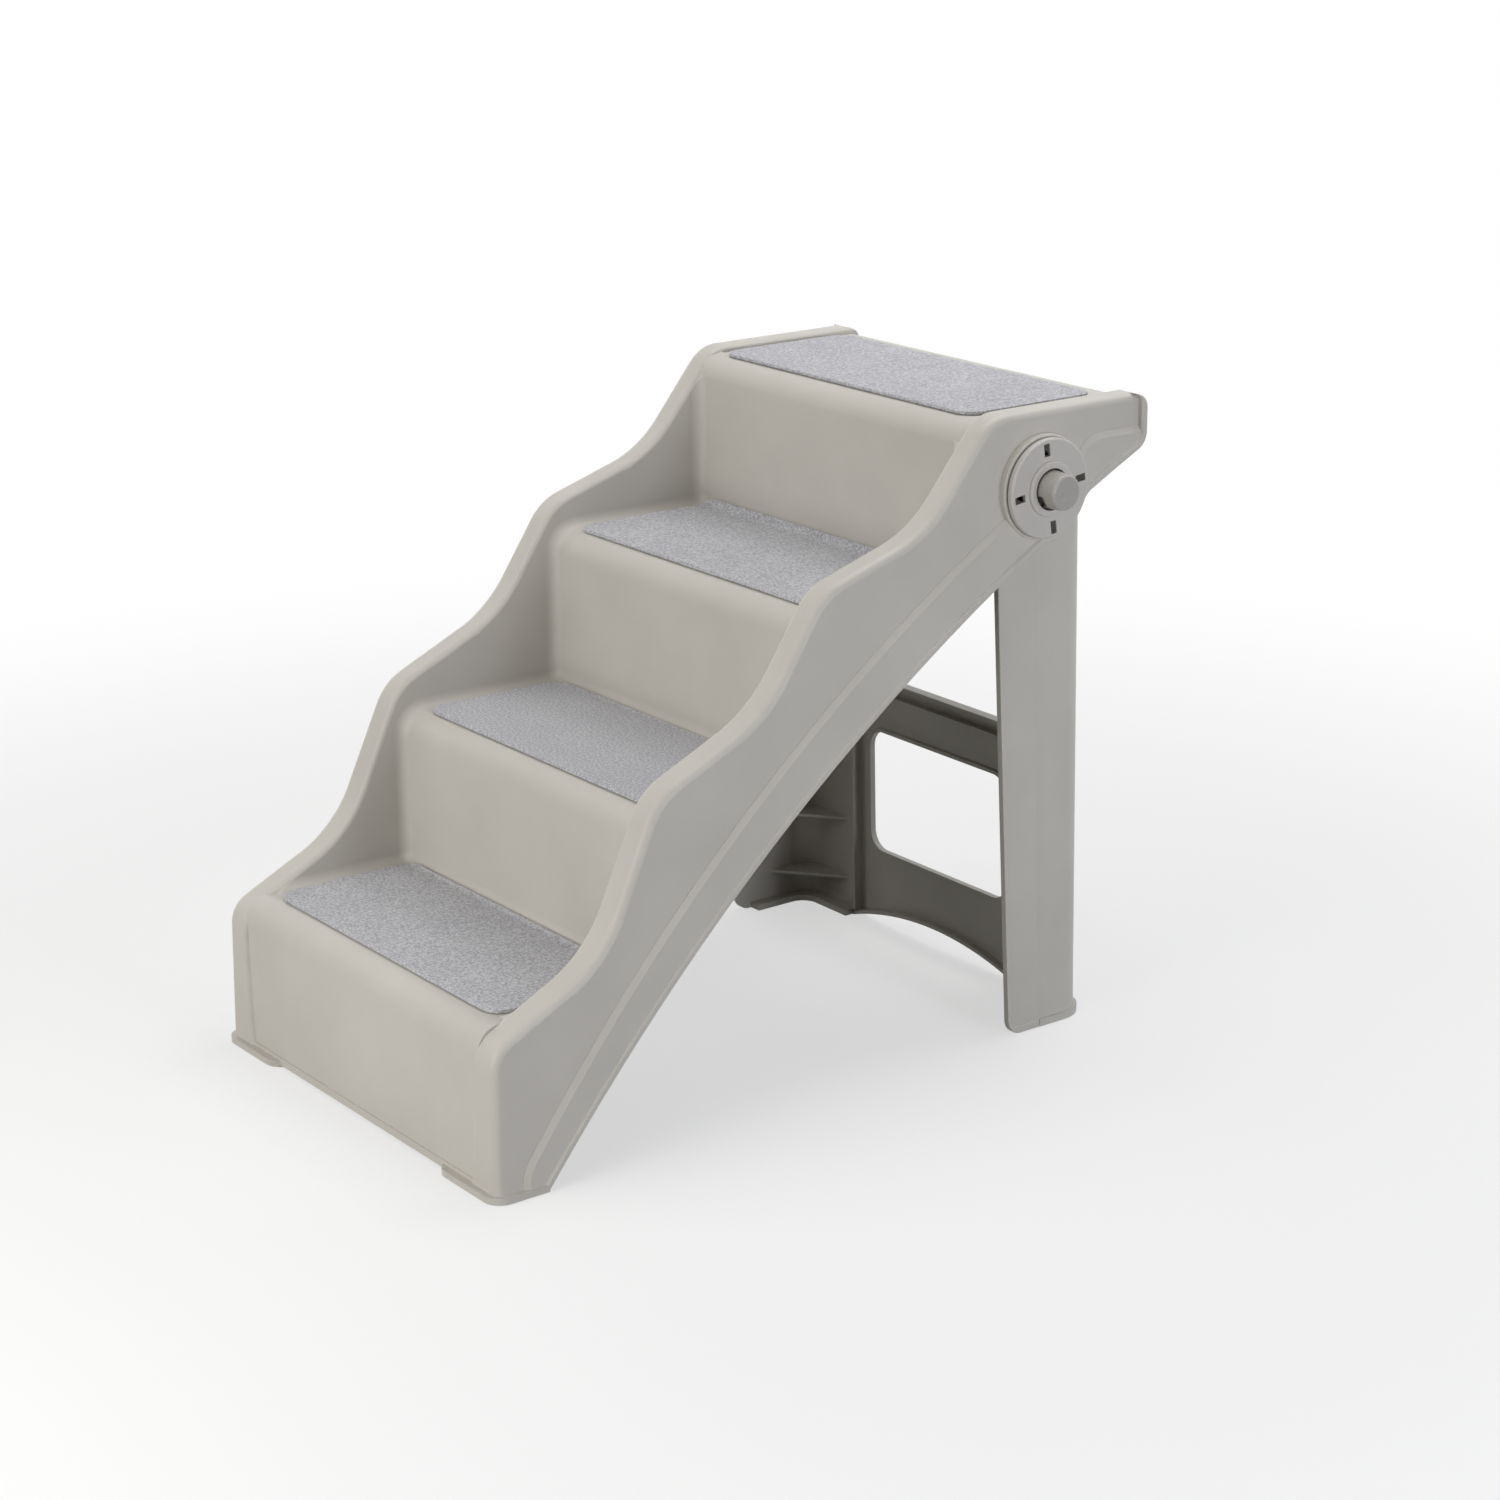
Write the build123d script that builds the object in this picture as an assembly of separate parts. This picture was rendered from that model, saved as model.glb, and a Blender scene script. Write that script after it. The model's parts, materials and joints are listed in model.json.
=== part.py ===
from build123d import *

import os
from math import cos, pi, radians, sin, sqrt, tan

# Folding pet staircase: a hollow moulded flight of four carpeted steps, held up by a
# leg frame that swings on two round hinges and folds forward under the flight.
# Millimetres. +X is the right side, -Y the foot of the flight, +Z up.
# The origin is the bottom centre of the whole object.

# Flight of steps
length = 605.0           # front lip of the feet to the rear rim
rise = 122.5             # tread to tread
run = 144.0              # riser to riser
inner_width = 320.0      # between the side walls
side_thick = 21.8        # one double side wall, at the hinges
lean = 0.75              # degrees that the outer faces lean in towards the top
skin = 3.0               # moulded wall
nosing_radius = 18.0     # rounded front edge of each tread
corner_radius = 10.0     # hollow corner at the back of each tread
cove_radius = 9.0        # hollow corner along the side walls
foot_flare = 4.5         # lip in front of the columns
panel_recess = 4.0       # front panel behind the columns
apron_set = 1.0          # rear face of the platform ahead of the rear rim
apron_radius = 8.0
column_spread = 7.0      # front columns, wider at the floor

# Waved top of the side walls, from the front step to the platform
wall_front_drop = 10.0
wall_front_radius = 24.0
valley_set = (53.5, 53.5, 49.5)      # ahead of the next riser
valley_lift = (35.5, 64.0, 51.0)     # above the tread
valley_radius = (95.0, 105.0, 95.0)
crest_set = (-4.5, -0.5, 12.5)        # behind the riser
crest_lift = (21.0, 21.5, 5.0)       # above the tread that follows
crest_radius = (45.0, 45.0, 32.0)
wall_round = 6.0                     # rounded outer edges of the walls
inner_round = 4.0                    # and their inner edges
top_skin = 5.0                       # thicker along the rounded top

# Lower edge of the side walls
foot_length = 41.5       # front feet, along the floor
arch_sag = 29.0          # height of the arched edge over its chord
tail_lift = 7.5          # rear edge above the run of the arch
tail_radius = 15.0
rear_radius = 11.0       # upper rear corner
blend_radius = 20.0      # between the hinge bulge and the tail
band_foot_set = 32.0     # raised band ahead of the arch, at the floor
band_sag = 38.5
band_toe = 22.0          # foot of the band behind the columns
band_toe_radius = 30.0
band_proud = 3.2
band_slant = 4.6         # bevel of the band, along the wall
band_edge = 2.8          # and out from it
tail_band_drop = 24.5    # rear band below the wall top
tail_band_radius = 24.0
tail_band_set = 44.0     # its front corner behind the hinge axis
tail_band_turn = 26.0    # degrees that its front edge leans back
rim_width = 6.0
rim_proud = 4.8
rim_edge = 1.5
front_foot_width = 79.0
sole_thick = 5.0
toe_gap = 1.6            # front panel above the feet
lip_height = 6.0
lip_proud = 2.5
sole_radius = 14.0

# Hinges
hinge_inset = 104.5      # axis ahead of the rear rim
hinge_drop = 52.5        # axis below the platform
bulge_radius = 44.0
boss_radius = 40.0
boss_proud = 5.2
boss_edge = 1.3
boss_recess = 4.0
trunnion_radius = 29.0
running_gap = 0.05       # round the trunnions
face_gap = 0.3           # between faces that turn past each other
cap_radius = 37.8
cap_thick = 4.5
cap_gap = 1.5            # shadow line under the cap
cap_fit = 0.2
cap_step = 3.0           # spigot inside the cap's edge
cap_edge = 1.6
collar_radius = 21.0
collar_height = 2.4
collar_edge = 1.4
button_hole_radius = 15.9
slot_count = 4
slot_length = 9.8
slot_width = 5.6
slot_circle = 29.8
slot_turn = 8.0          # degrees

# Lock behind each button
button_radius = 14.3
button_proud = 15.8      # beyond the collar
button_taper = 3.5       # degrees
button_edge = 2.2
button_wall = 3.2
button_travel = 8.0
notch_width = 11.0
notch_length = 10.0
notch_turn = 215.0       # degrees
gear_teeth = 12
tooth_root = 0.64        # tooth widths, as shares of the pitch
tooth_tip = 0.36
gear_tip = 25.5
gear_root = 22.5
gear_thick = 9.0
gear_fit = 0.1
gear_stop = 0.3          # free play under the cap
tooth_relief = 0.4       # between the cap's fixed teeth and the gear
cap_tooth_depth = 2.0
hub_floor = 2.5
spring_packed = 8.0      # spring with its button pressed in
spring_radius = 10.0
spring_wire = 1.2
spring_turns = 4
spring_gap = 0.15
screw_radius = 2.0
screw_length = 13.0
screw_head_radius = 4.0
screw_head_height = 2.6
post_radius = 4.6

# Leg frame
leg_gap = 0.8            # legs inside the side walls
leg_wall = 3.0
leg_front_set = 15.4     # front edge of a leg ahead of the axis, at the floor
hub_radius = 40.0
leg_back_set = 67.6      # rear face behind the axis, at the floor
leg_rake = 1.35          # degrees that the rear face leans forward
leg_back_radius = 25.0
leg_top_drop = 42.0      # top of the rear face below the axis
leg_panel_width = 75.0   # rear face of a leg, at the crossbar
leg_head_width = 32.0    # rear face of a leg, at its top
ridge_top_set = -2.0     # step on the outer face, behind the axis
ridge_foot_set = 17.0
ridge_proud = 1.0
ridge_edge = 0.8
leg_rim_width = 3.0      # bead along the front edge of a leg
leg_rim_proud = 2.0
leg_toe_radius = 13.0
foot_rim = 6.5           # height of the flange round each leg foot
foot_rim_proud = 3.2
sole_width = 14.0        # sole of a leg, inside its wall
sole_set = 15.0          # sole behind the toe
window_lip = 5.0         # depth of the edge round the window
frame_lip = 9.0          # and round the other openings
crossbar_top = 220.0
crossbar_pad_low = 186.0
crossbar_pad_high = 208.0
crossbar_pad_width = 168.0
crossbar_pad_proud = 6.0
crossbar_pad_radius = 8.0
knee_radius = 25.0       # crossbar to leg
window_width = 171.0
window_low = 67.0
window_high = 172.5
window_radius = 16.0
rail_crown = 18.5        # arch under the lower rail
rail_span = 214.0
flange_set = 101.0       # upright rib beside the window
flange_deep = 8.0
gusset_foot = 28.0
gusset_pitch = 53.0
gusset_count = 4
gusset_reach = 55.0
gusset_deep = 45.0
gusset_thick = 2.4

# Mats and grips
pad_side_gap = 7.0       # from a mat to the side wall
pad_width = inner_width - 2*pad_side_gap
pad_depth = 118.5
pad_set = 18.5           # behind the riser
pad_radius = 17.0
pad_thick = 2.6
pad_edge = 1.0
film_thick = 0.6
film_set = 3.5
grip_proud = 0.5
grip_thick = 2.6
grip_fit = 0.1
front_grip_width = 26.0
front_grip_length = 30.0
leg_grip_width = 7.0
leg_grip_length = 46.0
grip_radius = 3.0
leg_grip_edge = 2.5

# Helper lengths: how far cutting shapes run past the solids, and what counts as touching
past = 100.0
touch = 0.01

# Places that follow from the sizes above
inner_x = inner_width/2
outer_x = inner_x + side_thick
cavity_x = outer_x - skin
slope = tan(radians(lean))
front_y = foot_flare - length/2
panel_y = front_y + panel_recess
rear_y = length/2
apron_y = rear_y - apron_set
flights = range(len(crest_set) + 1)
tread_z = [rise*(i + 1) for i in flights]
riser_y = [panel_y + run*i for i in flights]
top_z = tread_z[-1] + crest_lift[-1]
hinge_y = rear_y - hinge_inset
hinge_z = tread_z[-1] - hinge_drop
rim_x = outer_x + rim_proud + hinge_z*slope
boss_face = outer_x + boss_proud
boss_floor = boss_face - boss_recess
trunnion_end = boss_floor - face_gap
cap_low = boss_face + cap_gap
cap_face = cap_low + cap_thick
cap_floor = cap_face - skin
spigot_radius = cap_radius - cap_step
collar_face = cap_face + collar_height
gear_out = cap_floor - gear_stop
gear_in = gear_out - gear_thick
spring_length = spring_packed + button_travel
hub_seat = gear_in - spring_length
button_face = collar_face + button_proud
leg_x = cavity_x - leg_gap - leg_rim_proud
leg_inner_x = leg_x - leg_wall
leg_back_y = hinge_y + leg_back_set
leg_panel_y = leg_back_y - leg_wall
leg_toe_y = hinge_y - leg_front_set
leg_top_z = hinge_z - leg_top_drop

# Ends of the arched lower edge and of the band that follows it
arch_start = Vector(front_y + foot_length, 0)
arch_end = Vector(hinge_y, hinge_z - bulge_radius)
band_start = arch_start - Vector(band_foot_set, 0)
band_end = Vector(hinge_y, hinge_z)


def slab(face, low, high):
    """Side-view face, drawn as (Y, Z), made solid between two X values."""
    return extrude(Plane.YZ.offset(low) * face, amount=high - low)


def disc(radius, low, high):
    """Round solid on the hinge axis."""
    return slab(Pos(hinge_y, hinge_z) * Circle(radius), low, high)


def upright(face, low, high):
    """Front-view face, drawn as (X, Z), made solid between two Y values."""
    return extrude(Plane.XZ.offset(-high) * face, amount=high - low)


def layer(face, low, high):
    """Plan-view face, drawn as (X, Y), made solid between two Z values."""
    return extrude(Plane.XY.offset(low) * face, amount=high - low)


def rectangle(low, high):
    """Rectangle between two corners."""
    centre = Pos((low[0] + high[0])/2, (low[1] + high[1])/2)
    return centre * Rectangle(high[0] - low[0], high[1] - low[1])


def block(low, high):
    """Box between two corners."""
    return layer(rectangle(low[:2], high[:2]), low[2], high[2])


def rounded(points, radii):
    """Closed outline with a radius at each corner."""
    return make_face(FilletPolyline(*points, radius=radii, close=True).edges())


def bow(start, end, sag, grow=0.0):
    """Circle whose edge bows up by sag between two points, made larger by grow."""
    chord = end - start
    radius = (chord.length**2/4 + sag**2)/(2*sag)
    normal = Vector(-chord.Y, chord.X).normalized()
    centre = (start + end)/2 + normal*(sag - radius)
    return Pos(centre.X, centre.Y) * Circle(radius + grow)


def outer_edges(solid):
    """Edges of a solid's outermost face, without those on the floor."""
    edges = solid.faces().sort_by(Axis.X)[-1].edges()
    return [edge for edge in edges if edge.center().Z > grip_proud + touch]


def eased(solid, radius):
    """Solid with the edges of its outermost face rounded."""
    return fillet(outer_edges(solid), radius)


def both_sides(solid):
    return solid + mirror(solid, about=Plane.YZ)


def within(inset):
    """All that lies inside the leaning outer faces, drawn in by inset."""
    points = []
    for z in (-past, top_z + past):
        points.append((outer_x - inset - (z - hinge_z)*slope, z))
    points += [(0, top_z + past), (0, -past)]
    return upright(make_face(Polyline(*points, close=True).edges()), -length, length)


def wave_line():
    """Front edge and waved top of a side wall."""
    front_z = tread_z[0] - wall_front_drop
    points = [(front_y - past*slope, -past), (front_y + front_z*slope, front_z)]
    radii = [wall_front_radius]
    for i in flights[:-1]:
        points.append((riser_y[i + 1] - valley_set[i], tread_z[i] + valley_lift[i]))
        points.append((riser_y[i + 1] + crest_set[i], tread_z[i + 1] + crest_lift[i]))
        radii += [valley_radius[i], crest_radius[i]]
    points.append((rear_y, top_z))
    return FilletPolyline(*points, radius=radii)


def wave_face():
    """All that lies below the waved top, down past the floor."""
    line = wave_line()
    close = Polyline(line @ 1, (rear_y, -past), line @ 0)
    return make_face([*line.edges(), *close.edges()])


def tread_points():
    """Corners of the treads, from the first nosing to the last."""
    points = []
    radii = []
    for i in flights:
        points.append((riser_y[i], tread_z[i]))
        radii.append(nosing_radius)
        if i + 1 in flights:
            points.append((riser_y[i + 1], tread_z[i]))
            radii.append(corner_radius)
    return points, radii


def stair_face():
    """All that lies below the treads, down past the floor."""
    points, radii = tread_points()
    points += [(apron_y, tread_z[-1]), (apron_y, -past), (panel_y - (past + rise)*slope, -past)]
    return rounded(points, [*radii, apron_radius, 0, 0])


def below_edge(grow):
    """The open space under the arch and the tail, grown into the wall."""
    ahead = rectangle((-2*length, -2*length), (hinge_y, length))
    behind = rectangle((hinge_y, -2*length), (2*length, length))
    arch = bow(arch_start, arch_end, arch_sag, grow) & ahead
    tail = bow(arch_start, arch_end, arch_sag, tail_lift + grow) & behind
    return arch + tail


def rear_corners(face, grow):
    """Corners of a side-view face along the rear rim, from the lowest up."""
    y = rear_y - grow
    return face.vertices().filter_by_position(Axis.X, y - touch, y + touch).sort_by(Axis.Y)


def side_face(grow=0.0):
    """Side wall in outline, its arched and rear edges drawn in by grow."""
    zone = rectangle((front_y - past, grip_proud), (rear_y - grow, top_z + past))
    face = (wave_face() & zone) - below_edge(grow)
    face += Pos(hinge_y, hinge_z) * Circle(bulge_radius - grow)
    face = fillet(rear_corners(face, grow)[0], tail_radius - grow)
    face = fillet(rear_corners(face, grow)[-1], rear_radius - grow)
    tail = (hinge_y + bulge_radius, hinge_z - bulge_radius/2)
    return fillet(face.vertices().sort_by_distance(tail)[0], blend_radius + grow)


def arch_band_face():
    """Raised band along the arch, up to the hinge."""
    zone = rectangle((front_y + band_toe, -past), (hinge_y, top_z))
    reach = bow(band_start, band_end, band_sag) & zone
    toe = reach.vertices().group_by(Axis.X)[0].sort_by(Axis.Y)[-1]
    return fillet(toe, band_toe_radius)


def tail_band_face():
    """Raised band behind the hinge."""
    high = top_z - tail_band_drop
    low = hinge_z - past
    front = hinge_y + tail_band_set
    foot = front - (high - low)*tan(radians(tail_band_turn))
    points = [(foot, low), (front, high), (rear_y + skin, high), (rear_y + skin, low)]
    return rounded(points, [0, tail_band_radius, 0, 0])


def on_shape(edge, shape):
    """True where a side-view line or face carries the middle of an edge."""
    middle = edge @ 0.5
    return shape.distance_to(Vertex(middle.Y, middle.Z, 0)) < touch


def long_edges(solid, line):
    """Edges of a side-view solid that run along a line, not across it."""
    edges = [edge for edge in solid.edges() if on_shape(edge, line)]
    return [edge for edge in edges if abs(edge.tangent_at(0.5).X) < cos(pi/4)]


def front_column():
    """Inner flank of the right front column, curving out towards the floor."""
    crown = tread_z[0] - nosing_radius
    drop = crown + past
    radius = (crown**2 + column_spread**2)/(2*column_spread)
    foot = (inner_x - radius + sqrt(radius**2 - drop**2), -past)
    root = inner_x + skin
    flank = TangentArc((inner_x, crown), foot, tangent=(0, -1))
    rest = Polyline(foot, (root, -past), (root, crown), (inner_x, crown))
    flank = make_face([*flank.edges(), *rest.edges()])
    return upright(flank, front_y - past, front_y + 2*wall_round) & slab(wave_face(), 0, outer_x)


def rounded_wall(proud):
    """Right side wall in the rough, with rounded edges, its outer face moved out by proud."""
    line = wave_line()
    wall = slab(wave_face(), inner_x, rim_x + past) & within(-proud)
    wall += front_column()
    inner = [edge for edge in long_edges(wall, line) if edge.center().X < inner_x + touch]
    wall = fillet(inner, inner_round)
    outer = [edge for edge in long_edges(wall, line) if edge.center().X > inner_x + side_thick/2]
    return fillet(outer, wall_round)


def side_wall():
    """Right side wall before it is hollowed."""
    return rounded_wall(0) & slab(side_face(), 0, rim_x + past)


def raised_band(face):
    """Band on the leaning outside of the right wall, bevelled down to it."""
    tilt = radians(lean)
    root = side_thick/2
    origin = (outer_x - root + hinge_z*slope, 0, 0)
    plane = Plane(origin, x_dir=(0, 1, 0), z_dir=(cos(tilt), 0, sin(tilt)))
    band = extrude(plane * face, amount=root + band_proud)
    top = band.faces().sort_by(Axis.X)[-1]
    wall = side_face()
    edges = [edge for edge in top.edges() if on_shape(edge, wall)]
    return chamfer(edges, band_slant, band_edge, reference=top) & slab(wall, 0, rim_x + past)


def side_trim():
    """Band, rim and hinge boss on the outside of the right wall."""
    trim = raised_band(arch_band_face()) + raised_band(tail_band_face())
    rim = slab(side_face() - side_face(rim_width), inner_x + skin, rim_x + past) & within(-rim_proud)
    rim = chamfer(outer_edges(rim), rim_edge) & rounded_wall(rim_proud)
    boss = disc(boss_radius, inner_x + skin, boss_face)
    return trim + rim + eased(boss, boss_edge)


def stair_cove():
    """Hollow corner between the treads and the right wall."""
    points, radii = tread_points()
    points[0] = (points[0][0] + nosing_radius, points[0][1])
    points.append((points[-1][0] + nosing_radius + skin, points[-1][1]))
    path = Plane.YZ.offset(inner_x) * FilletPolyline(*points, radius=radii[1:])
    low = points[0][1]
    root = skin/2
    corner = Polyline((inner_x, low + cove_radius), (inner_x + root, low + cove_radius),
                      (inner_x + root, low - root), (inner_x - cove_radius, low - root),
                      (inner_x - cove_radius, low))
    hollow = RadiusArc((inner_x - cove_radius, low), (inner_x, low + cove_radius), -cove_radius)
    section = make_face([*corner.edges(), *hollow.edges()])
    cove = sweep(Plane.XZ.offset(-points[0][0]) * section, path=path)
    return cove & slab(offset(wave_face(), -skin), 0, cavity_x)


def front_foot():
    """Sole at the right front corner, with its lip round the outside."""
    low = (rim_x - front_foot_width, front_y - foot_flare)
    high = (rim_x, front_y + foot_length)
    points = [low, (high[0], low[1]), high, (low[0], high[1])]
    sole = rounded(points, [sole_radius, sole_radius, 0, 0])
    return layer(sole, grip_proud, grip_proud + sole_thick)


def front_grip_face(grow=0.0):
    """Plan of the grip under the right front foot."""
    centre = Pos(rim_x - front_foot_width/2, front_y + foot_length/2)
    width = front_grip_width + 2*grow
    depth = front_grip_length + 2*grow
    return centre * RectangleRounded(width, depth, grip_radius + grow)


def stair_shell():
    panel_low = grip_proud + toe_gap
    above = rectangle((panel_y - past, panel_low), (rear_y, top_z + past))
    tail = below_edge(0) & rectangle((hinge_y, 0), (rear_y + past, top_z))
    half = slab((stair_face() & above) - tail, 0, inner_x + wall_round/2)
    half += side_wall() + side_trim()
    under = offset(stair_face(), -skin)
    below_top = offset(wave_face(), -top_skin)
    half -= slab(under, 0, inner_x)
    half -= slab(under & below_top, 0, rim_x + past) & within(skin)
    half -= slab(below_top, inner_x + skin, rim_x + past) & within(skin)
    half += stair_cove()
    lip = (0, panel_y - lip_proud, panel_low)
    half += block(lip, (inner_x + skin, panel_y + skin, panel_low + lip_height))
    half += front_foot()
    half -= layer(front_grip_face(grip_fit), 0, grip_thick + grip_fit)
    half -= disc(trunnion_radius + running_gap, inner_x, boss_face)
    half -= disc(spigot_radius + cap_fit, boss_floor, boss_face)
    return both_sides(half)


def gear_face(tip, root):
    """Toothed outline on the hinge axis, with straight flanks."""
    pitch = 2*pi/gear_teeth
    shares = ((-tooth_root/2, root), (-tooth_tip/2, tip), (tooth_tip/2, tip), (tooth_root/2, root))
    points = []
    for tooth in range(gear_teeth):
        for share, radius in shares:
            angle = (tooth + share)*pitch
            points.append((hinge_y + radius*cos(angle), hinge_z + radius*sin(angle)))
    return make_face(Polyline(*points, close=True).edges())


def hinge_cap():
    cap = eased(disc(cap_radius, cap_low, cap_face), cap_edge)
    cap += eased(disc(collar_radius, cap_floor, collar_face), collar_edge)
    cap += disc(spigot_radius, boss_floor, cap_low + skin/2)
    fixed_root = gear_tip + tooth_relief
    cap -= slab(gear_face(fixed_root + cap_tooth_depth, fixed_root), boss_floor, cap_floor)
    cap -= disc(button_hole_radius, boss_floor, collar_face)
    slot = Pos(slot_circle, 0) * Rectangle(slot_length, slot_width)
    for i in range(slot_count):
        turned = Pos(hinge_y, hinge_z) * Rot(0, 0, slot_turn + 360*i/slot_count) * slot
        cap -= slab(turned, boss_floor, cap_face)
    return cap


def lock_gear():
    gear = slab(gear_face(gear_tip, gear_root), gear_in, gear_out)
    return gear - disc(screw_radius, gear_in, gear_out)


def release_button():
    """Cup with a post for its screw; the part beyond the collar tapers."""
    button = disc(button_radius, gear_out, collar_face)
    cone = Plane.YZ.offset(collar_face) * Pos(hinge_y, hinge_z) * Circle(button_radius)
    button += eased(extrude(cone, amount=button_proud, taper=button_taper), button_edge)
    button -= disc(button_radius - button_wall, gear_out, button_face - button_wall)
    button += disc(post_radius, gear_out, button_face - button_wall)
    button -= disc(screw_radius, gear_out, gear_in + screw_length)
    notch = Pos(button_radius, 0) * Rectangle(2*button_wall, notch_width)
    turned = Pos(hinge_y, hinge_z) * Rot(0, 0, notch_turn) * notch
    return button - slab(turned, collar_face - notch_length/2, collar_face + notch_length/2)


def button_screw():
    screw = disc(screw_radius, gear_in, gear_in + screw_length)
    return screw + disc(screw_head_radius, gear_in - screw_head_height, gear_in)


def return_spring():
    """One unbroken wire, wound about the hinge axis."""
    low = hub_seat + spring_gap + spring_wire/2
    height = spring_length - 2*spring_gap - spring_wire
    pitch = height/spring_turns
    path = Helix(pitch, height, spring_radius, center=(low, hinge_y, hinge_z), direction=(1, 0, 0))
    section = Plane(path @ 0, z_dir=path % 0) * Circle(spring_wire/2)
    print("least gap between spring turns", round(pitch - spring_wire, 2))
    return sweep(section, path=path, is_frenet=True)


def leg_face():
    """Side view of a leg, from its hub to the floor."""
    hub = Pos(hinge_y, hinge_z) * Circle(hub_radius)
    top_y = leg_back_y - leg_top_z*tan(radians(leg_rake))
    outline = Polyline((leg_toe_y, grip_proud), (leg_back_y, grip_proud), (top_y, leg_top_z))
    face = make_hull([*hub.edges(), *outline.edges()])
    toe = face.vertices().sort_by_distance((leg_toe_y, grip_proud))[0]
    return fillet(toe, leg_toe_radius)


def leg_openings():
    """Front view of what the frame leaves open: window, rail arch and the gap above."""
    window = Pos(0, (window_low + window_high)/2) * RectangleRounded(
        window_width, window_high - window_low, window_radius)
    arch = bow(Vector(-rail_span/2, 0), Vector(rail_span/2, 0), rail_crown)
    knee_x = leg_x - leg_panel_width
    head_x = leg_x - leg_head_width
    points = [(-knee_x, crossbar_top), (knee_x, crossbar_top), (head_x, leg_top_z), (head_x, top_z),
              (-head_x, top_z), (-head_x, leg_top_z)]
    gap = rounded(points, [knee_radius, knee_radius, 0, 0, 0, 0])
    return [window, arch, gap]


def leg_prism(inset):
    """All that lies inside a leg's outer and rear faces, drawn in by inset."""
    x = leg_x - inset
    y = leg_back_y - inset
    points = [(0, leg_toe_y - past), (x, leg_toe_y - past), (x, y), (0, y)]
    face = rounded(points, [0, 0, leg_back_radius - inset, 0])
    rake = Vector(0, -tan(radians(leg_rake)), 1)
    return extrude(face, amount=top_z*rake.length, dir=rake)


def leg_grip_face(grow=0.0):
    """Plan of the grip under the right leg."""
    centre_x = leg_x - leg_grip_edge - leg_grip_width/2
    centre = Pos(centre_x, (leg_toe_y + leg_back_y)/2)
    width = leg_grip_width + 2*grow
    depth = leg_grip_length + 2*grow
    return centre * RectangleRounded(width, depth, grip_radius + grow)


def leg_foot(outline):
    """Sole and flange of the right leg."""
    x = leg_x + leg_rim_proud
    y = leg_back_y + foot_rim_proud
    inner = rail_span/2
    ridge_y = hinge_y + ridge_foot_set
    corner = leg_back_radius + leg_rim_proud
    flange = rounded([(inner, ridge_y), (x, ridge_y), (x, y), (inner, y)], [0, 0, corner, 0])
    flange = layer(flange, grip_proud, foot_rim) - leg_prism(leg_wall)
    deep = leg_panel_y - sole_width
    toe = leg_toe_y + sole_set
    points = [(inner, deep), (leg_x - sole_width, deep), (leg_x - sole_width, toe), (leg_x, toe),
              (leg_x, leg_back_y), (inner, leg_back_y)]
    sole = rounded(points, [0, sole_width, 0, 0, leg_back_radius, 0])
    sole = layer(sole, grip_proud, grip_proud + sole_thick) & slab(outline, 0, leg_x)
    return flange + sole


def leg_frame():
    outline = leg_face()
    inside = leg_prism(leg_wall)
    half = (slab(outline, 0, leg_x) & leg_prism(0)) - inside
    ridge = [(hinge_y + ridge_top_set, hinge_z), (hinge_y + ridge_foot_set, 0),
             (leg_toe_y - past, 0), (leg_toe_y - past, hinge_z)]
    ridge = make_face(Polyline(*ridge, close=True).edges())
    below_hub = rectangle((leg_toe_y - past, 0), (leg_back_y, hinge_z - hub_radius))
    front = outline & ridge & below_hub
    half += eased(slab(front, leg_inner_x, leg_x + ridge_proud), ridge_edge)
    foot = rectangle((leg_toe_y - past, 0), (leg_back_y, foot_rim))
    for bead in (front - offset(outline, -leg_rim_width), front & foot):
        half += eased(slab(bead, leg_inner_x, leg_x + leg_rim_proud), ridge_edge)
    zone = rectangle((0, grip_proud), (leg_inner_x, leg_top_z))
    for opening, deep in zip(leg_openings(), (window_lip, frame_lip, frame_lip)):
        half -= upright(opening, leg_panel_y - past, leg_back_y + past)
        lip = (offset(opening, leg_wall) - opening) & zone
        half += upright(lip, leg_panel_y - past, leg_back_y) & (leg_prism(0) - leg_prism(deep))
    pad = Pos(0, (crossbar_pad_low + crossbar_pad_high)/2) * RectangleRounded(
        crossbar_pad_width, crossbar_pad_high - crossbar_pad_low, crossbar_pad_radius)
    pad_zone = inside - leg_prism(leg_wall + crossbar_pad_proud)
    half += upright(pad & zone, leg_panel_y - past, leg_back_y) & pad_zone
    flange = rectangle((flange_set, foot_rim), (flange_set + leg_wall, crossbar_top))
    flange_zone = inside - leg_prism(leg_wall + flange_deep)
    half += upright(flange, leg_panel_y - past, leg_back_y) & flange_zone
    gusset = Polyline((leg_inner_x, leg_panel_y - gusset_deep), (leg_inner_x, leg_panel_y),
                      (leg_inner_x - gusset_reach, leg_panel_y), close=True)
    for i in range(gusset_count):
        low = gusset_foot + gusset_pitch*i
        half += layer(make_face(gusset.edges()), low, low + gusset_thick) & leg_prism(leg_wall/2)
    half += leg_foot(outline)
    half -= layer(leg_grip_face(grip_fit), 0, grip_thick + grip_fit)
    half += disc(trunnion_radius, hub_seat - hub_floor, trunnion_end)
    socket = offset(gear_face(gear_tip, gear_root), gear_fit)
    half -= slab(socket, hub_seat, trunnion_end)
    return both_sides(half)


def pad_face(inset=0.0):
    width = pad_width - 2*inset
    depth = pad_depth - 2*inset
    return RectangleRounded(width, depth, pad_radius - inset)


def tread_pad(i):
    """Felt mat on one tread, with a soft upper edge."""
    low = tread_z[i] + film_thick
    mat = layer(Pos(0, riser_y[i] + pad_set + pad_depth/2) * pad_face(), low, low + pad_thick)
    return fillet(mat.faces().sort_by(Axis.Z)[-1].edges(), pad_edge)


def pad_adhesive(i):
    film = Pos(0, riser_y[i] + pad_set + pad_depth/2) * pad_face(film_set)
    return layer(film, tread_z[i], tread_z[i] + film_thick)


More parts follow.
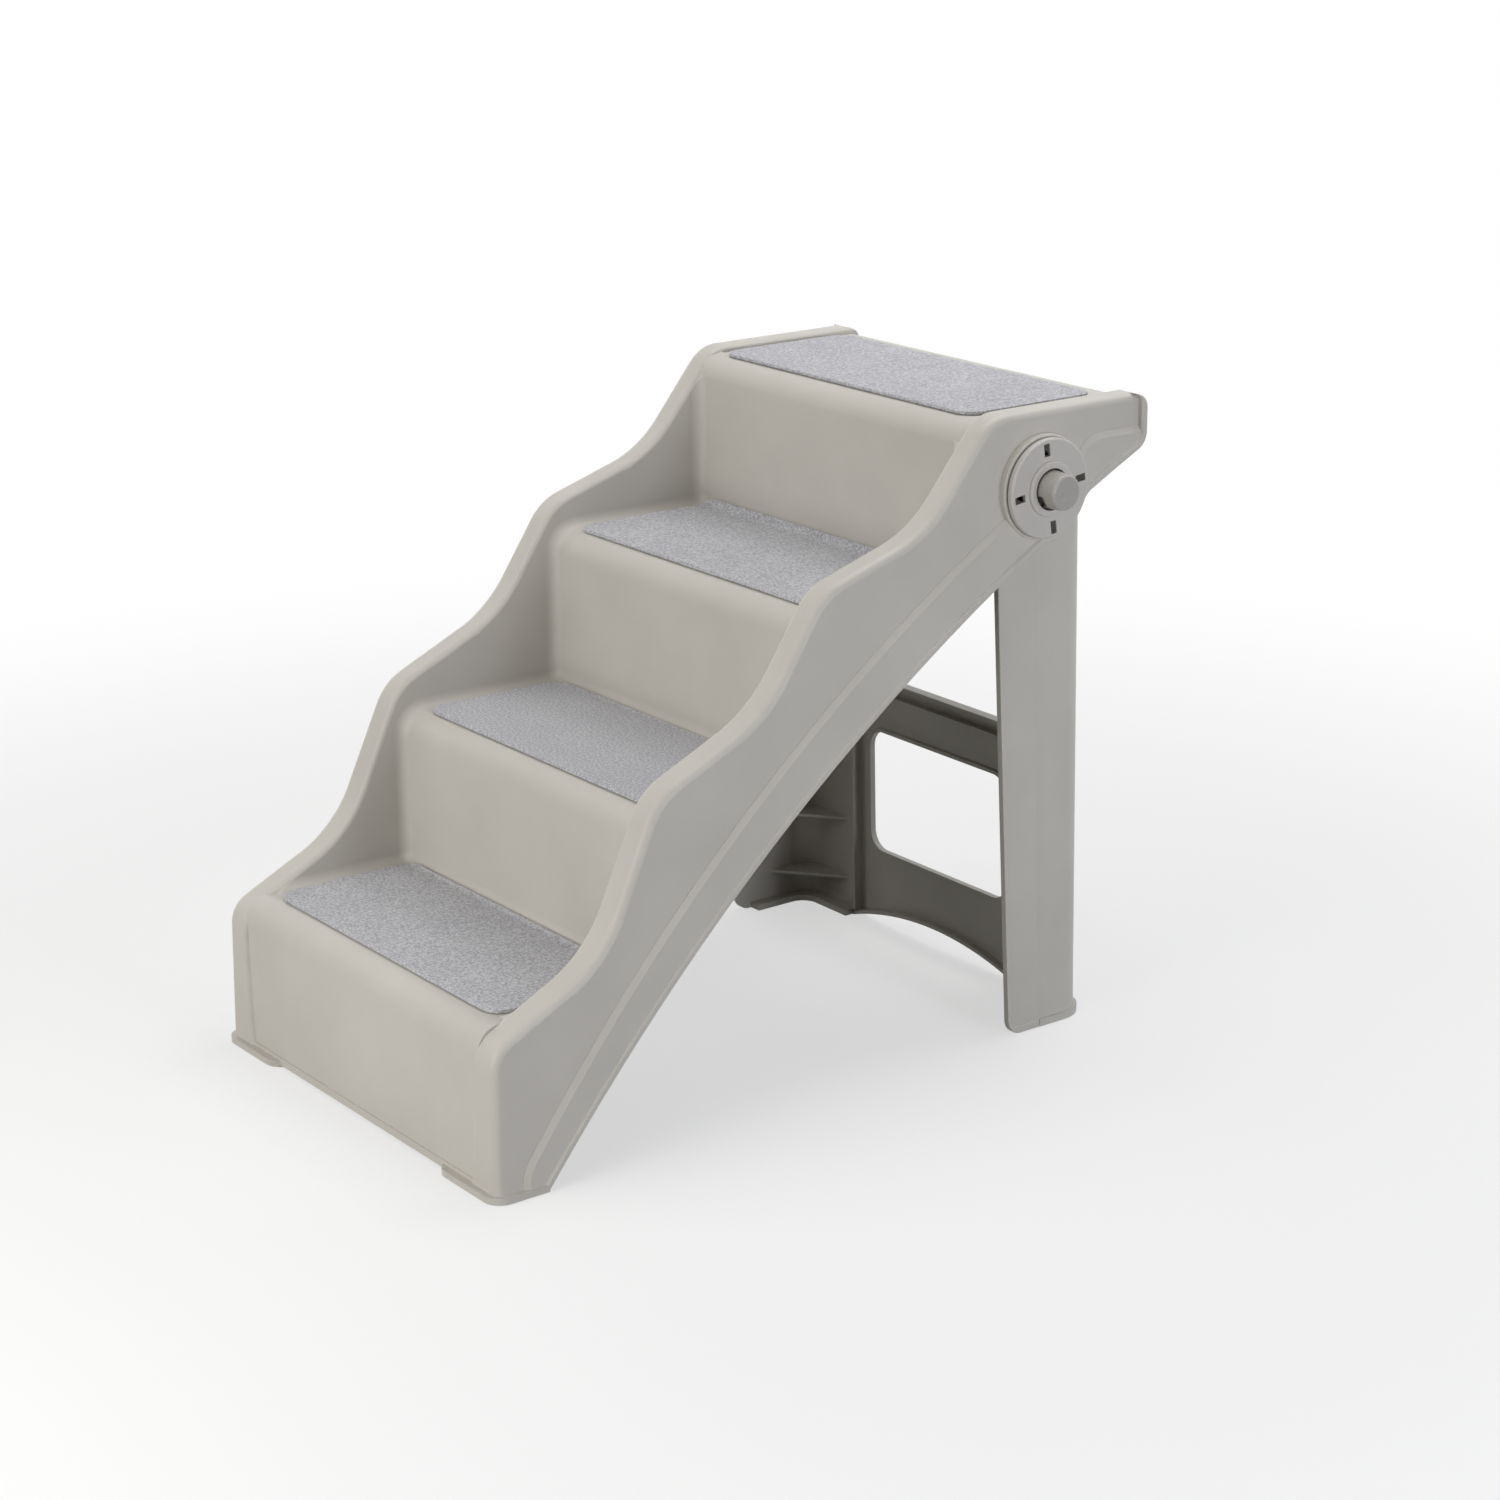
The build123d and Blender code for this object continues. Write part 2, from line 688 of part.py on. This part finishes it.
def export(name, solid):
    export_step(solid, f"parts/{name}.step")


def export_pair(name, solid):
    export(f"{name}_right", solid)
    export(f"{name}_left", mirror(solid, about=Plane.YZ))


os.makedirs("parts", exist_ok=True)
export("stair_shell", stair_shell())
export("leg_frame", leg_frame())
for i in flights:
    export(f"tread_pad_{i + 1}", tread_pad(i))
    export(f"pad_adhesive_{i + 1}", pad_adhesive(i))
export_pair("hinge_cap", hinge_cap())
export_pair("lock_gear", lock_gear())
export_pair("release_button", release_button())
export_pair("button_screw", button_screw())
export_pair("return_spring", return_spring())
export_pair("foot_grip_front", layer(front_grip_face(), 0, grip_thick))
export_pair("foot_grip_leg", layer(leg_grip_face(), 0, grip_thick))
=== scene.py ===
"""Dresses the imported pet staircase: moulded plastic, felt mats, studio light and camera.

Metres. +X is the right side, -Y the foot of the flight, +Z up.
"""

import json
from math import cos, radians, sin, sqrt

import bpy
from mathutils import Matrix, Vector, noise

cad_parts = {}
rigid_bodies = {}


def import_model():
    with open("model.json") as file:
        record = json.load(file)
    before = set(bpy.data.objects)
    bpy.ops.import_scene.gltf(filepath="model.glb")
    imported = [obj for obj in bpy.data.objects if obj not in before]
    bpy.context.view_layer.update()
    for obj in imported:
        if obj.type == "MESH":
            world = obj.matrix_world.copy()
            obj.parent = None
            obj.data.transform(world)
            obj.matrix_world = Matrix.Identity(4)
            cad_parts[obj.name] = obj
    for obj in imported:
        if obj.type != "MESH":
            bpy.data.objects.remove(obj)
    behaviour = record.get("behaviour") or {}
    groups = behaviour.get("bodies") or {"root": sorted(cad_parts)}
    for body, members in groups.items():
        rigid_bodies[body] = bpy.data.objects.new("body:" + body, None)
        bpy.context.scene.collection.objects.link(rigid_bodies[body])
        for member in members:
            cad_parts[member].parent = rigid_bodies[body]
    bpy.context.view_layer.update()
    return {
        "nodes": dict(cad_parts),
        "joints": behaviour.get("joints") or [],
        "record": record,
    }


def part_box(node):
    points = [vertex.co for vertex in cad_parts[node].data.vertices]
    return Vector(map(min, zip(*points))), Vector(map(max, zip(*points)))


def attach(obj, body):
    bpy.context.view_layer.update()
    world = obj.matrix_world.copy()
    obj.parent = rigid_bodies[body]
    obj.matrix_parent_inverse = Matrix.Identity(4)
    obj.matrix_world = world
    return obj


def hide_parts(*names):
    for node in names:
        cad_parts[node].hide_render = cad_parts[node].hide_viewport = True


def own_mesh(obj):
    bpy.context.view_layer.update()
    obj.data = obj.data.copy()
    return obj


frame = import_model()
scene = bpy.context.scene

# Camera, fitted to the photo's edges
CAMERA_AZIMUTH = 52.81       # degrees from the front towards the right side
CAMERA_ELEVATION = 17.78
CAMERA_ROLL = -0.18
CAMERA_DISTANCE = 2.5679
CAMERA_TARGET = Vector((0.0, 0.0656, 0.2125))
CAMERA_LENS = 79.087
CAMERA_SENSOR = 36.0
CAMERA_REACH = 30.0          # farthest point that is drawn

# Felt mats
MAT_RADIUS = 0.017           # rounded corners
MAT_EDGE = 0.0010            # rounded upper edge
MAT_STEP = 0.0019            # spacing of the surface points
MAT_RING = (0.0, 0.00022, 0.0005, 0.0009, 0.0016)  # closer points along the rim
MAT_RIM = 4 * MAT_RING[-1]   # width of the rim that frays and has smaller lumps
MAT_WALL = (0.34, 0.68)      # rings on the upright edge, as shares of its height
MAT_FUZZ = 0.00016           # height of the felt's lumps
MAT_LUMPS = 520              # lumps to the metre
MAT_RIM_CALM = 0.6           # share of the lumps' height that the rim loses
MAT_CREASE = radians(55.0)   # steeper edges are shaded sharp
MAT_FRAY = 0.00028           # waviness of the cut edge
MAT_WAVES = 260              # waves of that edge to the metre
SEED_BASE = 40               # place in the noise, which differs from mat to mat
SEED_RISE = 90
HOLLOW_RADIUS = 0.010        # corner between a tread and the next riser
HOLLOW_LEAD = 0.003          # from the start of that corner to the CAD mat's rear edge
FILM_THICK = 0.0006
MATS = (
    # front edge ahead of the CAD mat's, felt past the start of the corner, lies up the corner
    (-0.0020, 0.0080, True),
    (0.0030, 0.0061, True),
    (0.0030, 0.0139, True),
    (0.0035, 0.0082, False),
)


def tint(red, green, blue):
    """An sRGB colour, 0 to 255, as the linear colour that a shader takes."""
    shares = [value / 255 for value in (red, green, blue)]
    linear = [s / 12.92 if s <= 0.04045 else ((s + 0.055) / 1.055) ** 2.4 for s in shares]
    return (*linear, 1.0)


class Finish:
    """A procedural material around one Principled shader."""

    def __init__(self, name, **settings):
        self.material = bpy.data.materials.new(name)
        self.material.use_nodes = True
        self.tree = self.material.node_tree
        self.tree.nodes.clear()
        self.shader = self.tree.nodes.new("ShaderNodeBsdfPrincipled")
        output = self.tree.nodes.new("ShaderNodeOutputMaterial")
        self.link(self.shader.outputs["BSDF"], output.inputs["Surface"])
        self.place = self.tree.nodes.new("ShaderNodeTexCoord").outputs["Object"]
        for socket, value in settings.items():
            self.shader.inputs[socket.replace("_", " ")].default_value = value

    def link(self, source, socket):
        self.tree.links.new(source, socket)

    def stretched(self, turn, scale):
        """Object coordinates, turned about the upright and scaled."""
        node = self.tree.nodes.new("ShaderNodeMapping")
        node.inputs["Rotation"].default_value[2] = radians(turn)
        node.inputs["Scale"].default_value = scale
        self.link(self.place, node.inputs["Vector"])
        return node.outputs["Vector"]

    def clouds(self, scale, detail=2.0, rough=0.5, bend=0.0, place=None):
        """Noise with about that many lumps to the metre."""
        node = self.tree.nodes.new("ShaderNodeTexNoise")
        node.inputs["Scale"].default_value = scale
        node.inputs["Detail"].default_value = detail
        node.inputs["Roughness"].default_value = rough
        node.inputs["Distortion"].default_value = bend
        self.link(place or self.place, node.inputs["Vector"])
        return node.outputs["Fac"]

    def pebbles(self, scale):
        """Close-set rounded cells, as in a moulded grain."""
        node = self.tree.nodes.new("ShaderNodeTexVoronoi")
        node.feature = "SMOOTH_F1"
        node.inputs["Scale"].default_value = scale
        node.inputs["Smoothness"].default_value = 0.6
        self.link(self.place, node.inputs["Vector"])
        return node.outputs["Distance"]

    def spread(self, source, low, high, out_low=0.0, out_high=1.0):
        """source from low to high, taken to out_low to out_high."""
        node = self.tree.nodes.new("ShaderNodeMapRange")
        values = {"From Min": low, "From Max": high, "To Min": out_low, "To Max": out_high}
        for socket, value in values.items():
            node.inputs[socket].default_value = value
        self.link(source, node.inputs["Value"])
        return node.outputs["Result"]

    def blend(self, share, first, second):
        """Colour that goes from first to second; each is a colour or a socket."""
        node = self.tree.nodes.new("ShaderNodeMix")
        node.data_type = "RGBA"
        self.link(share, node.inputs["Factor"])
        for socket, value in ((node.inputs[6], first), (node.inputs[7], second)):
            if isinstance(value, tuple):
                socket.default_value = value
            else:
                self.link(value, socket)
        return node.outputs[2]

    def combine(self, operation, first, second):
        node = self.tree.nodes.new("ShaderNodeMath")
        node.operation = operation
        self.link(first, node.inputs[0])
        self.link(second, node.inputs[1])
        return node.outputs[0]

    def colour(self, source):
        self.link(source, self.shader.inputs["Base Color"])

    def roughness(self, source):
        self.link(source, self.shader.inputs["Roughness"])

    def relief(self, *layers):
        """Bump from (height source, depth in metres, strength) layers, coarse to fine."""
        normal = None
        for height, depth, strength in layers:
            node = self.tree.nodes.new("ShaderNodeBump")
            node.inputs["Distance"].default_value = depth
            node.inputs["Strength"].default_value = strength
            self.link(height, node.inputs["Height"])
            if normal:
                self.link(normal, node.inputs["Normal"])
            normal = node.outputs["Normal"]
        self.link(normal, self.shader.inputs["Normal"])


def moulded(name, pale, deep, gloss, grain, **settings):
    """Matte moulded plastic: faint clouds of shade, a fine grain and slight sink marks."""
    finish = Finish(name, **settings)
    shade = finish.spread(finish.clouds(11.0, 3.0, 0.55), 0.32, 0.68)
    speck = finish.spread(finish.clouds(950.0, 1.0), 0.25, 0.75)
    mixed = finish.blend(shade, deep, pale)
    finish.colour(finish.blend(finish.spread(speck, 0.0, 1.0, 0.0, 0.18), mixed, deep))
    finish.roughness(finish.spread(finish.clouds(37.0, 3.0, 0.6), 0.3, 0.7, *gloss))
    finish.relief(
        (finish.clouds(9.0, 1.0), 0.0012, 0.10),
        (finish.pebbles(1150.0), 0.00006, grain),
    )
    return finish.material


def felted(name):
    """Needle felt: pale and dark fibres at all angles, clumped, with a dull nap."""
    finish = Finish(
        name,
        Roughness=0.95,
        Specular_IOR_Level=0.12,
        Sheen_Weight=0.22,
        Sheen_Roughness=0.55,
    )
    fibres = None
    for turn in (18.0, 77.0, 134.0):
        place = finish.stretched(turn, (1.0, 5.5, 1.0))
        lines = finish.clouds(620.0, 2.0, 0.6, 0.7, place)
        fibres = finish.combine("MAXIMUM", fibres, lines) if fibres else lines
    clumps = finish.clouds(520.0, 2.0, 0.6)
    drift = finish.spread(finish.clouds(23.0, 2.0), 0.3, 0.7)
    pale = finish.blend(drift, tint(208, 208, 213), tint(214, 214, 217))
    deep = finish.blend(drift, tint(137, 136, 143), tint(144, 143, 149))
    mixed = finish.combine("ADD", finish.spread(fibres, 0.45, 0.78, 0.0, 0.4),
                           finish.spread(clumps, 0.38, 0.62, 0.0, 0.6))
    finish.colour(finish.blend(mixed, deep, pale))
    finish.relief((clumps, 0.0005, 0.55), (fibres, 0.00022, 0.6))
    return finish.material


def rubbery(name):
    finish = Finish(name, Specular_IOR_Level=0.25)
    finish.colour(finish.blend(finish.clouds(60.0, 3.0), tint(62, 61, 60), tint(78, 77, 75)))
    finish.roughness(finish.spread(finish.clouds(300.0), 0.3, 0.7, 0.72, 0.9))
    finish.relief((finish.pebbles(900.0), 0.00012, 0.4))
    return finish.material


def nylon(name):
    finish = Finish(name, Specular_IOR_Level=0.45)
    finish.colour(finish.blend(finish.clouds(45.0, 3.0), tint(48, 48, 48), tint(60, 59, 58)))
    finish.roughness(finish.spread(finish.clouds(140.0), 0.3, 0.7, 0.3, 0.42))
    finish.relief((finish.clouds(700.0), 0.00003, 0.3))
    return finish.material


def filmy(name):
    finish = Finish(name, Specular_IOR_Level=0.4)
    finish.colour(finish.blend(finish.clouds(80.0, 3.0), tint(196, 195, 190), tint(210, 209, 204)))
    finish.roughness(finish.spread(finish.clouds(220.0), 0.3, 0.7, 0.35, 0.55))
    finish.relief((finish.clouds(400.0), 0.00005, 0.4))
    return finish.material


def zinc_plated(name):
    finish = Finish(name, Metallic=1.0)
    finish.colour(finish.blend(finish.clouds(260.0, 4.0), tint(176, 178, 180), tint(206, 206, 204)))
    finish.roughness(finish.spread(finish.clouds(900.0, 3.0), 0.3, 0.7, 0.22, 0.42))
    finish.relief((finish.clouds(1500.0), 0.00002, 0.3))
    return finish.material


shell_finish = moulded("shell_plastic", tint(193, 189, 182), tint(186, 182, 175),
                       (0.40, 0.52), 0.25, Specular_IOR_Level=0.34)
hinge_finish = moulded("hinge_plastic", tint(190, 186, 181), tint(183, 179, 174),
                       (0.34, 0.46), 0.16, Specular_IOR_Level=0.38)
button_finish = moulded("button_plastic", tint(161, 157, 152), tint(154, 151, 146),
                        (0.24, 0.34), 0.10, Specular_IOR_Level=0.5)
felt_finish = felted("needle_felt")
finishes = {
    "shell": shell_finish,
    "hinge": hinge_finish,
    "felt": felt_finish,
    "adhesive": filmy("adhesive_film"),
    "lock": nylon("lock_nylon"),
    "grip": rubbery("grip_rubber"),
    "steel": zinc_plated("zinc_plate"),
}
slot_of = {part["node"]: part["material_slot"] for part in frame["record"]["subparts"]}
for node, solid in frame["nodes"].items():
    is_button = node.startswith("release_button")
    solid.data.materials.clear()
    solid.data.materials.append(button_finish if is_button else finishes[slot_of[node]])


def stops(low, high):
    """Grid lines from low to high: close together at both ends, even between."""
    first = low + MAT_RING[-1]
    last = high - MAT_RING[-1]
    count = round((last - first) / MAT_STEP)
    middle = [first + (last - first) * i / count for i in range(1, count)]
    return [low + d for d in MAT_RING] + middle + [high - d for d in reversed(MAT_RING)]


def rounded_corner(x, y, half_x, half_y):
    """A point of the grid, drawn in so that the grid's corners become arcs."""
    past_x = (abs(x) - half_x + MAT_RADIUS) / MAT_RADIUS
    past_y = (abs(y) - half_y + MAT_RADIUS) / MAT_RADIUS
    if past_x <= 0 or past_y <= 0:
        return x, y
    drawn_x = half_x + MAT_RADIUS * (past_x * sqrt(1 - past_y ** 2 / 2) - 1)
    drawn_y = half_y + MAT_RADIUS * (past_y * sqrt(1 - past_x ** 2 / 2) - 1)
    return (drawn_x if x > 0 else -drawn_x), (drawn_y if y > 0 else -drawn_y)


def laid(point, base, hollow):
    """A point of the flat felt, taken up the hollow corner behind the tread."""
    bend = HOLLOW_RADIUS - FILM_THICK
    turn = max(0.0, point.y - hollow) / bend
    if turn == 0:
        return point
    reach = bend - (point.z - base)
    return Vector((point.x, hollow + reach * sin(turn), base + bend - reach * cos(turn)))


def felt_mat(name, low, high, ahead, behind, curls):
    """A cut piece of felt and its flat size: lumpy on top, with a rounded upper edge."""
    hollow = high.y - HOLLOW_LEAD
    front, back = low.y - ahead, hollow + behind
    centre = Vector(((low.x + high.x) / 2, (front + back) / 2, (low.z + high.z) / 2))
    half_x, half_y = (high.x - low.x) / 2, (back - front) / 2
    thick = high.z - low.z
    across, along = stops(-half_x, half_x), stops(-half_y, half_y)
    columns, rows = len(across), len(along)
    shoulder = thick - MAT_EDGE - MAT_FUZZ
    seed = Vector((0, 0, SEED_BASE + SEED_RISE * centre.z))
    top, bottom = [], []
    for y in along:
        for x in across:
            depth = min(half_x - abs(x), half_y - abs(y))
            edge = max(0.0, 1 - depth / MAT_RIM)
            px, py = rounded_corner(x, y, half_x, half_y)
            spot = Vector((px, py, 0))
            wave = 1 + noise.noise(spot * MAT_WAVES + seed)
            fray = 1 - edge * wave * MAT_FRAY / half_y
            inset = min(depth, MAT_EDGE)
            bulge = sqrt(MAT_EDGE ** 2 - (MAT_EDGE - inset) ** 2)
            lumps = noise.fractal(spot * MAT_LUMPS + seed, 1.0, 2.0, 2)
            height = shoulder + bulge + lumps * MAT_FUZZ * (1 - MAT_RIM_CALM * edge)
            px, py = px * fray, py * fray
            top.append(Vector((centre.x + px, centre.y + py, low.z + min(height, thick))))
            bottom.append(Vector((centre.x + px, centre.y + py, low.z)))
    points = top + bottom
    under = len(top)
    faces = []
    for j in range(rows - 1):
        for i in range(columns - 1):
            a = j * columns + i
            b, c, d = a + 1, a + columns + 1, a + columns
            faces.append((a, b, c, d))
            faces.append((under + d, under + c, under + b, under + a))
    rim = list(range(columns))
    rim += [j * columns + columns - 1 for j in range(1, rows)]
    rim += [(rows - 1) * columns + i for i in range(columns - 2, -1, -1)]
    rim += [j * columns for j in range(rows - 2, 0, -1)]
    rings = [[under + i for i in rim]]
    for share in MAT_WALL:
        rings.append(range(len(points), len(points) + len(rim)))
        points += [bottom[i].lerp(top[i], share) for i in rim]
    rings.append(rim)
    for lower, upper in zip(rings, rings[1:]):
        for i in range(len(rim)):
            k = (i + 1) % len(rim)
            faces.append((lower[i], lower[k], upper[k], upper[i]))
    if curls:
        points = [laid(point, low.z, hollow) for point in points]
    mesh = bpy.data.meshes.new(name)
    mesh.from_pydata(points, [], faces)
    mesh.validate()
    mesh.shade_smooth()
    mesh.set_sharp_from_angle(angle=MAT_CREASE)
    mesh.materials.append(felt_finish)
    mat = bpy.data.objects.new(name, mesh)
    scene.collection.objects.link(mat)
    return mat, (2 * half_x, 2 * half_y)


for step, (ahead, behind, curls) in enumerate(MATS, 1):
    low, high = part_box(f"tread_pad_{step}")
    mat, flat = felt_mat(f"felt_mat_{step}", low, high, ahead, behind, curls)
    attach(mat, "stairs")
    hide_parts(f"tread_pad_{step}")


def return_spring(node, joint):
    """A copy of a spring, carried by its joint's parent body in place of the hidden CAD spring."""
    spring = bpy.data.objects.new(f"coil_{node}", frame["nodes"][node].data.copy())
    scene.collection.objects.link(spring)
    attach(spring, joint["parent"])
    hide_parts(node)
    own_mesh(spring)


for joint in frame["joints"]:
    for end in joint.get("deforming_nodes", ()):
        return_spring(end["node"], joint)

# Studio: pale floor, soft lamps and a white surround
FLOOR_HALF = 30.0            # half of the floor's side
FLOOR_BOUNCE = tint(160, 159, 156)  # floor that lights the object
FLOOR_PALE = tint(235, 235, 234)    # floor that shows the shadow
FLOOR_GLOW = 1.0
FLOOR_SHADE = 0.42           # share of the lit floor in what the camera sees
SHADE_NEAR = 0.45            # distances from the object over which that share fades out
SHADE_FAR = 1.5
AMBIENT = tint(250, 252, 255)
AMBIENT_STRENGTH = 0.05
LAMPS = (
    # name, azimuth, elevation, distance, width, height, watts, colour
    ("front_key", 0.0, 35.0, 2.6, 1.6, 1.6, 15.6, tint(255, 254, 250)),
    ("front_left", -40.0, 35.0, 2.6, 1.6, 1.6, 9.7, tint(255, 254, 250)),
    ("front_low", 8.0, 5.0, 1.35, 0.9, 0.5, 6.2, tint(255, 254, 250)),
    ("top_box", 180.0, 78.0, 1.35, 0.9, 0.9, 8.9, tint(255, 255, 255)),
    ("back_box", 180.0, 50.0, 1.35, 0.9, 0.9, 3.6, tint(255, 255, 255)),
    ("right_fill", 90.0, 7.0, 2.6, 0.5, 0.9, 21.6, tint(244, 247, 255)),
    ("right_rear", 110.0, 7.0, 2.2, 0.5, 0.9, 6.8, tint(244, 247, 255)),
    ("left_fill", -95.0, 12.0, 2.6, 1.6, 1.6, 14.0, tint(250, 252, 255)),
    ("rear_fill", 180.0, 10.0, 2.8, 1.6, 1.2, 5.0, tint(250, 252, 255)),
)


def seen_rays(tree):
    """1 for rays that show the surround itself: camera, glossy and transmission."""
    path = tree.nodes.new("ShaderNodeLightPath")
    total = path.outputs["Is Camera Ray"]
    for ray in ("Is Glossy Ray", "Is Transmission Ray"):
        node = tree.nodes.new("ShaderNodeMath")
        node.operation = "MAXIMUM"
        tree.links.new(total, node.inputs[0])
        tree.links.new(path.outputs[ray], node.inputs[1])
        total = node.outputs[0]
    return total


def mix_shaders(tree, share, first, second):
    node = tree.nodes.new("ShaderNodeMixShader")
    for place, source in enumerate((share, first, second)):
        tree.links.new(source, node.inputs[place])
    return node.outputs[0]


def pale_floor():
    mesh = bpy.data.meshes.new("floor")
    corners = [(-1, -1), (1, -1), (1, 1), (-1, 1)]
    mesh.from_pydata([(x * FLOOR_HALF, y * FLOOR_HALF, 0) for x, y in corners], [], [(0, 1, 2, 3)])
    material = bpy.data.materials.new("pale_floor")
    material.use_nodes = True
    tree = material.node_tree
    tree.nodes.clear()
    bounce = tree.nodes.new("ShaderNodeBsdfDiffuse")
    bounce.inputs["Color"].default_value = FLOOR_BOUNCE
    pale = tree.nodes.new("ShaderNodeBsdfDiffuse")
    pale.inputs["Color"].default_value = FLOOR_PALE
    glow = tree.nodes.new("ShaderNodeEmission")
    glow.inputs["Strength"].default_value = FLOOR_GLOW
    reach = tree.nodes.new("ShaderNodeVectorMath")
    reach.operation = "LENGTH"
    tree.links.new(tree.nodes.new("ShaderNodeTexCoord").outputs["Object"], reach.inputs[0])
    fade = tree.nodes.new("ShaderNodeMapRange")
    fade.interpolation_type = "SMOOTHSTEP"
    values = {"From Min": SHADE_NEAR, "From Max": SHADE_FAR, "To Min": FLOOR_SHADE, "To Max": 0.0}
    for socket, value in values.items():
        fade.inputs[socket].default_value = value
    tree.links.new(reach.outputs["Value"], fade.inputs["Value"])
    seen = mix_shaders(tree, fade.outputs["Result"], glow.outputs[0], pale.outputs[0])
    surface = mix_shaders(tree, seen_rays(tree), bounce.outputs[0], seen)
    output = tree.nodes.new("ShaderNodeOutputMaterial")
    tree.links.new(surface, output.inputs["Surface"])
    mesh.materials.append(material)
    floor = bpy.data.objects.new("floor", mesh)
    scene.collection.objects.link(floor)


def white_surround():
    world = bpy.data.worlds.new("studio")
    world.use_nodes = True
    tree = world.node_tree
    tree.nodes.clear()
    ambient = tree.nodes.new("ShaderNodeBackground")
    ambient.inputs["Color"].default_value = AMBIENT
    ambient.inputs["Strength"].default_value = AMBIENT_STRENGTH
    white = tree.nodes.new("ShaderNodeBackground")
    white.inputs["Color"].default_value = (1.0, 1.0, 1.0, 1.0)
    output = tree.nodes.new("ShaderNodeOutputWorld")
    surface = mix_shaders(tree, seen_rays(tree), ambient.outputs[0], white.outputs[0])
    tree.links.new(surface, output.inputs["Surface"])
    scene.world = world


def bearing(azimuth, elevation):
    """Unit vector from the object; azimuth 0 is the front and 90 the right side."""
    turn, lift = radians(azimuth), radians(elevation)
    return Vector((cos(lift) * sin(turn), -cos(lift) * cos(turn), sin(lift)))


def soft_lamp(name, azimuth, elevation, distance, width, height, watts, colour):
    data = bpy.data.lights.new(name, "AREA")
    data.shape = "RECTANGLE"
    data.size, data.size_y = width, height
    data.energy = watts
    data.color = colour[:3]
    lamp = bpy.data.objects.new(name, data)
    away = bearing(azimuth, elevation)
    lamp.location = CAMERA_TARGET + away * distance
    lamp.rotation_mode = "QUATERNION"
    lamp.rotation_quaternion = (-away).to_track_quat("-Z", "Y")
    scene.collection.objects.link(lamp)


def fitted_camera():
    data = bpy.data.cameras.new("camera")
    data.lens = CAMERA_LENS
    data.sensor_width = CAMERA_SENSOR
    data.clip_end = CAMERA_REACH
    camera = bpy.data.objects.new("camera", data)
    back = bearing(CAMERA_AZIMUTH, CAMERA_ELEVATION)
    level = Vector((-back.y, back.x, 0)).normalized()
    upright = back.cross(level)
    roll = radians(CAMERA_ROLL)
    right = level * cos(roll) + upright * sin(roll)
    up = back.cross(right)
    place = CAMERA_TARGET + back * CAMERA_DISTANCE
    columns = Matrix((right, up, back)).transposed().to_4x4()
    camera.matrix_world = Matrix.Translation(place) @ columns
    scene.collection.objects.link(camera)
    scene.camera = camera


pale_floor()
white_surround()
for lamp in LAMPS:
    soft_lamp(*lamp)
fitted_camera()
scene.view_settings.view_transform = "Standard"
